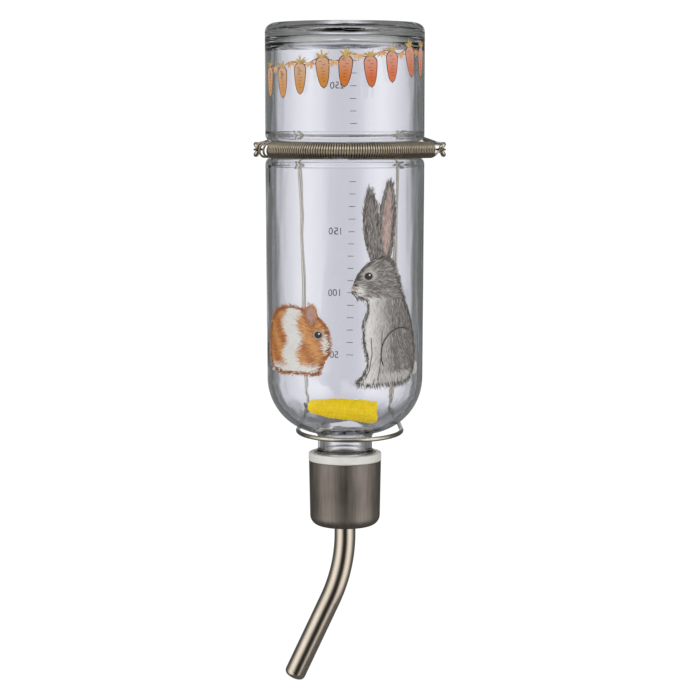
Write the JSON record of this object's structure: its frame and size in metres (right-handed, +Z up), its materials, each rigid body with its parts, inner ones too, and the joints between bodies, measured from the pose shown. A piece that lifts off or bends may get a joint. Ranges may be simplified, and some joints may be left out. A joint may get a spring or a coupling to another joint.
{
  "type": "small-animal drinking bottle",
  "caption": "Inverted glass drinking bottle with screw cap, ball-valve spout, float, and a bent-wire cage holder with a coil spring.",
  "frame": {"origin": "middle of the two cage-hook seats, where the holder wire rests on the cage bar", "axes": "+Z up, +Y towards the cage, +X along the cage bars; the drinking tube points down towards -X"},
  "size_m": [0.068, 0.0682, 0.237],
  "materials": {
    "glass": "clear polished",
    "liner_plastic": "satin",
    "brushed_cap": "brushed",
    "silicone": "matt",
    "tube_steel": "fine brushed",
    "ball_steel": "polished",
    "float_plastic": "satin",
    "holder_wire": "bright nickel plate",
    "spring_steel": "drawn wire"
  },
  "bodies": {
    "holder": {"wire_holder": "holder_wire", "retaining_spring": "spring_steel"},
    "bottle": {"bottle": "glass"},
    "cap_seal": {"bottle_seal": "silicone"},
    "cap": {"cap_insert": "liner_plastic", "cap_shell": "brushed_cap", "tube_seal": "silicone", "drinking_tube": "tube_steel"},
    "tip_ball": {"tip_ball": "ball_steel"},
    "upper_ball": {"upper_ball": "ball_steel"},
    "float": {"cob_float": "float_plastic"}
  },
  "joints": [
    {"name": "bottle_turn", "type": "hinge", "parent": "holder", "child": "bottle", "pos_m": [-0.0017, -0.0328, -0.0042], "axis": [0, 0, 1], "continuous": true},
    {"name": "cap_travel", "type": "slide", "parent": "bottle", "child": "cap_seal", "axis": [0, 0, -1], "range_m": [0, 0.0045]},
    {"name": "cap_turn", "type": "hinge", "parent": "cap_seal", "child": "cap", "pos_m": [-0.0017, -0.0328, -0.1307], "axis": [0, 0, -1], "range_deg": [0, 540]},
    {"name": "tip_ball_lift", "type": "slide", "parent": "cap", "child": "tip_ball", "axis": [0.4226, 0, 0.9063], "range_m": [0, 0.015]},
    {"name": "upper_ball_lift", "type": "slide", "parent": "cap", "child": "upper_ball", "axis": [0.4226, 0, 0.9063], "range_m": [0, 0.015]},
    {"name": "float_rise", "type": "slide", "parent": "bottle", "child": "float", "axis": [0, 0, 1], "range_m": [0, 0.1]}
  ],
  "couplings": [
    {"joint": "cap_travel", "follows": "cap_turn", "m_per_rad": 0.00047746},
    {"joint": "upper_ball_lift", "follows": "tip_ball_lift", "ratio": 1}
  ]
}
